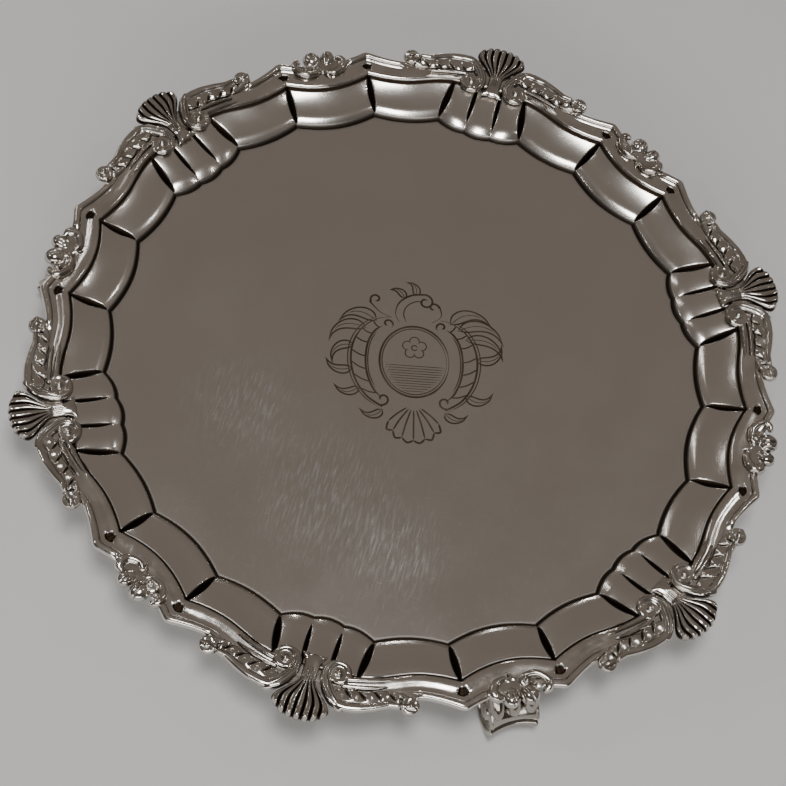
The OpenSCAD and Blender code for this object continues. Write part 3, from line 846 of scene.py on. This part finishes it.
def makeScrolls():
    left = castRelief("scroll", scrollForm, scrollShape)
    right = left.copy()
    right.data = left.data.copy()
    right.data.transform(Matrix.Diagonal((1, -1, 1, 1)))
    right.data.flip_normals()
    bpy.context.collection.objects.link(right)
    copyAround(left, "scrollLeft", 6, "scroll_left", lean=plan["lean"])
    copyAround(right, "scrollRight", 6, "scroll_right", lean=plan["lean"])


makeScrolls()
print("scrolls made")


# Rocailles: two C-scrolls of unlike size, with two fat lobes rising between them

rocailleForm = {
    "x": (129.5, 146.5), "y": (-13, 15.5), "cell": 0.19, "recess": 0.36, "under": 1.0, "soften": 2,
    "fat": 1.12,
    "strokes": (                                   # rows of x, y and radius, then lift and flatness
        ([(138.8, 3.4, 1.8), (140.4, 4.4, 3.2), (140.9, 4.7, 3.2)], 0.3, 0.78),       # the two lobes
        ([(138.6, -1.4, 1.6), (140.6, -2.2, 2.5), (141.4, -2.3, 2.6)], 0.3, 0.85),
        ([(140.6, 10.6, 1.0), (139.9, 11.9, 1.35), (137.8, 12.6, 1.45), (135.5, 11.1, 1.45),
          (133.8, 8.7, 1.4), (133.6, 6.2, 1.25), (134.0, 4.0, 1.05), (135.6, 2.9, 0.95),
          (137.3, 3.8, 0.85), (137.5, 5.5, 0.75)], 0.55, 1.1),                        # the big C
        ([(135.7, 5.0, 0.9), (135.75, 5.0, 0.9)], 1.0, 1.1),                          # its eye
        ([(140.0, -5.6, 1.1), (139.4, -7.3, 1.6), (137.4, -8.1, 1.75), (135.2, -7.2, 1.5),
          (133.8, -5.2, 1.25), (133.3, -3.0, 1.05), (134.1, -1.0, 0.75)], 0.5, 1.0),  # the small C
        ([(136.4, 1.6, 0.4), (134.8, 0.8, 0.75), (133.0, -0.2, 0.75), (131.4, -1.2, 0.3)], 0.25, 0.9),
        ([(137.0, -0.4, 0.4), (135.4, -1.2, 0.75), (133.8, -2.0, 0.7), (132.3, -3.2, 0.3)], 0.25, 0.9),
        ([(136.6, -2.6, 0.4), (135.4, -3.2, 0.6), (134.4, -4.2, 0.5), (133.6, -5.2, 0.3)], 0.25, 0.9),
        ([(136.2, 6, 2.6), (137.4, 2, 3.4), (136.9, -4, 3.4)], 0.3, 0.2),             # the web behind
    ),
    "folds": (([(144.0, 5.4), (139.5, 3.6)], 0.5), ([(143.8, -2.0), (139.4, -1.6)], 0.4),
              ([(143.4, 2.4), (139.4, 1.6)], 0.45)),
    "foldDepth": 0.7, "edge": 0.6,
}


def rocailleShape(x, y):
    fat = rocailleForm["fat"]
    inside, height = joined(x, y, [([(px, py, r * fat) for px, py, r in path], lift, flat)
                                   for path, lift, flat in rocailleForm["strokes"]])
    dirtAndShade = np.zeros(x.shape)
    # painted shade, with tarnish, in the folds
    for (start, end), w in rocailleForm["folds"]:
        cut = notch(x, y, start, end, w)
        height = height - rocailleForm["foldDepth"] * cut
        dirtAndShade = np.maximum(dirtAndShade, 0.7 * cut)
    return inside, height * roundEdge(inside, rocailleForm["edge"]), dirtAndShade


def makeRocailles():
    obj = castRelief("rocaille", rocailleForm, rocailleShape)
    obj.data.transform(Matrix.Rotation(math.radians(-plan["sector"] / 2), 4, "Z"))
    copyAround(obj, "rocaille", 6, "rocaille")


makeRocailles()
print("rocailles made")


# Scroll feet: a waisted roll with dished ends, under a knee of three leaves

footForm = {
    "rollR": 9.3, "waist": 2.1, "halfW": 9.2, "voxel": 0.24, "smooth": 3,
    # angle round the roll from straight out, counted upwards, and share of its radius
    "section": ((-180, 0.94), (-120, 0.97), (-90, 0.995), (-50, 1.0), (-20, 1.02), (-6, 1.02), (-1, 0.99),
                (2, 0.9), (6, 0.78), (12, 0.78), (17, 0.86), (20, 0.96), (25, 1.0), (60, 0.99),
                (120, 0.95), (180, 0.94)),
    # distance out of the end, share of the radius
    "end": ((-1.0, 1.0), (-0.35, 0.99), (0, 0.93), (0, 0.84), (-0.5, 0.78), (-1.3, 0.74), (-1.4, 0.5),
            (-1.2, 0.42), (-0.3, 0.37), (0.05, 0.28), (0.25, 0.15), (0.3, 0.0)),
    # distance out from the roll's axis, height over it, radius
    "leafY": (-6.2, 0, 6.2), "leafNarrow": 0.9, "leafSpread": 0.025,
    "leafPath": ((-6.8, 15.4, 2.6), (-4.2, 13.4, 2.9), (-1.2, 11.4, 3.0), (1.8, 9.4, 2.9), (4.2, 7.4, 2.3),
                 (5.6, 6.2, 1.4)),
    "webY": (-4, 4), "webPath": ((-7, 15.4, 2.4), (-5, 10, 3.6), (-2.5, 4, 4.2)),
}


def tube(path, around=16):  # a closed tube through the rows of a path: x, y, z, radius
    p = np.array(path, float)
    points, faces = [], []
    for i, row in enumerate(p):
        run = p[min(i + 1, len(p) - 1)][:3] - p[max(i - 1, 0)][:3]
        run = run / np.linalg.norm(run)
        side = np.array([0.0, 1.0, 0.0])
        side -= run * side.dot(run)
        side /= np.linalg.norm(side)
        up = np.cross(run, side)
        for j in range(around):
            a = 2 * math.pi * j / around
            points.append(row[:3] + row[3] * (math.cos(a) * side + math.sin(a) * up))
    n = len(p)
    for i in range(n - 1):
        for j in range(around):
            k = (j + 1) % around
            faces.append((i * around + j, i * around + k, (i + 1) * around + k, (i + 1) * around + j))
    faces.append(tuple(range(around))[::-1])
    faces.append(tuple((n - 1) * around + j for j in range(around)))
    return points, faces


def rollMesh(centre):
    s = footForm
    angles = np.linspace(-180, 180, 145)[:-1]
    shares = np.interp(angles, *np.array(s["section"]).T)
    rows = []
    endRows = [(s["halfW"] + out, share) for out, share in s["end"][::-1]]
    middle = [(y, None) for y in np.linspace(s["halfW"] - 1.2, -s["halfW"] + 1.2, 33)]
    for y, share in endRows + middle + [(-y, share) for y, share in endRows[::-1]]:
        if share is None:
            waist = s["rollR"] - s["waist"] * (1 - (abs(y) / s["halfW"]) ** 2)
        else:
            waist = s["rollR"] * share
        deep = 1 if share is None or share > 0.9 else 0   # the roll's section fades inside its dished ends
        r = waist * (shares * deep + (1 - deep))
        a = np.radians(angles)
        rows.append(np.stack([centre[0] + r * np.cos(a), np.full(len(a), centre[1] + y),
                              centre[2] + r * np.sin(a)], axis=-1))
    grid = np.array(rows).transpose(1, 0, 2)
    return grid.reshape(-1, 3), gridFaces(len(angles), len(rows), True)


def makeFeet():
    s = footForm
    pad = Vector(mounts["foot_1_pad"]["pos_m"]) / mm
    pad.rotate(Matrix.Rotation(math.radians(-shellAngle(0) + plan["sector"] / 2), 3, "Z"))
    rollZ = s["rollR"]
    parts = [rollMesh((pad.x, pad.y, rollZ))]
    for y in s["leafY"]:
        rows = [(pad.x + dx, pad.y + y * (s["leafNarrow"] + s["leafSpread"] * i), rollZ + dz, r)
                for i, (dx, dz, r) in enumerate(s["leafPath"])]
        parts.append(tube(along(rows, 5)))
    for y in s["webY"]:                            # the web behind the leaves
        parts.append(tube([(pad.x + dx, pad.y + y, rollZ + dz, r) for dx, dz, r in s["webPath"]]))
    points, faces = [], []
    for p, f in parts:
        faces += [tuple(i + len(points) for i in face) for face in f]
        points += [tuple(q) for q in p]
    obj = addObject("foot", points, faces)
    remesh = obj.modifiers.new("join", "REMESH")
    remesh.mode = "VOXEL"
    remesh.voxel_size = s["voxel"] * mm
    soften = obj.modifiers.new("soften", "SMOOTH")
    soften.iterations = s["smooth"]
    mesh = bpy.data.meshes.new_from_object(obj.evaluated_get(bpy.context.evaluated_depsgraph_get()))
    obj.modifiers.clear()
    obj.data = mesh
    mesh.shade_smooth()
    mesh.materials.clear()
    mesh.materials.append(footCast)
    mesh.transform(Matrix.Rotation(math.radians(-plan["sector"] / 2), 4, "Z"))
    copyAround(obj, "foot", 3, "foot", turn=2)


makeFeet()
print("feet made")


# The floor, the light and the camera

floorForm = {"halfM": 4, "colour": (0.86, 0.86, 0.86), "rough": 0.9}


def makeStage():
    mesh = bpy.data.meshes.new("floor")
    w = floorForm["halfM"]
    mesh.from_pydata([(-w, -w, 0), (w, -w, 0), (w, w, 0), (-w, w, 0)], [], [(0, 1, 2, 3)])
    floor = bpy.data.objects.new("floor", mesh)
    bpy.context.collection.objects.link(floor)
    mat = bpy.data.materials.new("floorPaper")
    mat.use_nodes = True
    shader = mat.node_tree.nodes["Principled BSDF"]
    shader.inputs["Base Color"].default_value = (*floorForm["colour"], 1)
    shader.inputs["Roughness"].default_value = floorForm["rough"]
    mesh.materials.append(mat)


def addLight(name, s):
    data = bpy.data.lights.new(name, "AREA")
    data.shape = "RECTANGLE"
    data.size, data.size_y = s["size"]
    data.energy = s["power"]
    data.color = s.get("colour", (1, 1, 1))
    lamp = bpy.data.objects.new(name, data)
    bpy.context.collection.objects.link(lamp)
    lamp.location = s["at"]
    aim = Vector((0, 0, 0)) - lamp.location
    lamp.rotation_euler = aim.to_track_quat("-Z", "Y").to_euler()


lights = {                                         # places and sizes in metres, power in watts
    "softboxOver": {"at": (0.02, -0.24, 1.3), "size": (0.34, 0.36), "power": 6.5},
    "windowLeft": {"at": (-0.95, 0.8, 1.05), "size": (0.035, 0.8), "power": 0.75},
    "frontLow": {"at": (0.3, -1.9, 0.85), "size": (2.4, 0.7), "power": 17},
    "sparkRight": {"at": (0.75, 0.5, 1.25), "size": (0.05, 0.05), "power": 0.5},
    "sparkBack": {"at": (-0.35, 1.5, 0.35), "size": (0.05, 0.05), "power": 0.5},
    "sparkLeft": {"at": (-0.9, -0.15, 0.9), "size": (0.05, 0.05), "power": 0.5},
}
room = {"wall": (0.175, 0.154, 0.137), "behind": (0.075, 0.066, 0.058), "low": (0.035, 0.031, 0.028),
        "behindFrom": -0.5, "behindTo": 0.4, "lowFrom": 0.02, "lowTo": 0.24}


def makeRoom(s):  # a dim room, darker behind the viewer and near the floor
    world = bpy.data.worlds.new("room")
    bpy.context.scene.world = world
    world.use_nodes = True
    nodes, links = world.node_tree.nodes, world.node_tree.links
    place, parts = nodes.new("ShaderNodeTexCoord"), nodes.new("ShaderNodeSeparateXYZ")
    links.new(place.outputs["Generated"], parts.inputs[0])
    colour = None
    for axis, low, high, first in (("Y", s["behindFrom"], s["behindTo"], s["behind"]),
                                   ("Z", s["lowFrom"], s["lowTo"], s["low"])):
        share, mix = nodes.new("ShaderNodeMapRange"), nodes.new("ShaderNodeMix")
        share.interpolation_type = "SMOOTHSTEP"
        share.inputs[1].default_value, share.inputs[2].default_value = low, high
        links.new(parts.outputs[axis], share.inputs[0])
        mix.data_type = "RGBA"
        links.new(share.outputs[0], mix.inputs["Factor"])
        mix.inputs[6].default_value = (*first, 1)
        mix.inputs[7].default_value = (*s["wall"], 1)
        if colour:
            links.new(colour, mix.inputs[7])
        colour = mix.outputs[2]
    links.new(colour, nodes["Background"].inputs["Color"])


makeStage()
for name, settings in lights.items():
    addLight(name, settings)
makeRoom(room)

view = {"from": (10.6, -334.7, 605.3), "to": (-2.0, -15.9, 20.0), "lens": 80.1, "roll": -14.35}  # mm
eye, target = Vector(view["from"]) * mm, Vector(view["to"]) * mm
camData = bpy.data.cameras.new("camera")
camData.lens = view["lens"]
camera = bpy.data.objects.new("camera", camData)
bpy.context.collection.objects.link(camera)
camera.location = eye
upright = (target - eye).to_track_quat("-Z", "Y").to_matrix()
camera.rotation_euler = (upright @ Matrix.Rotation(math.radians(-view["roll"]), 3, "Z")).to_euler()
bpy.context.scene.camera = camera

print("stage set")
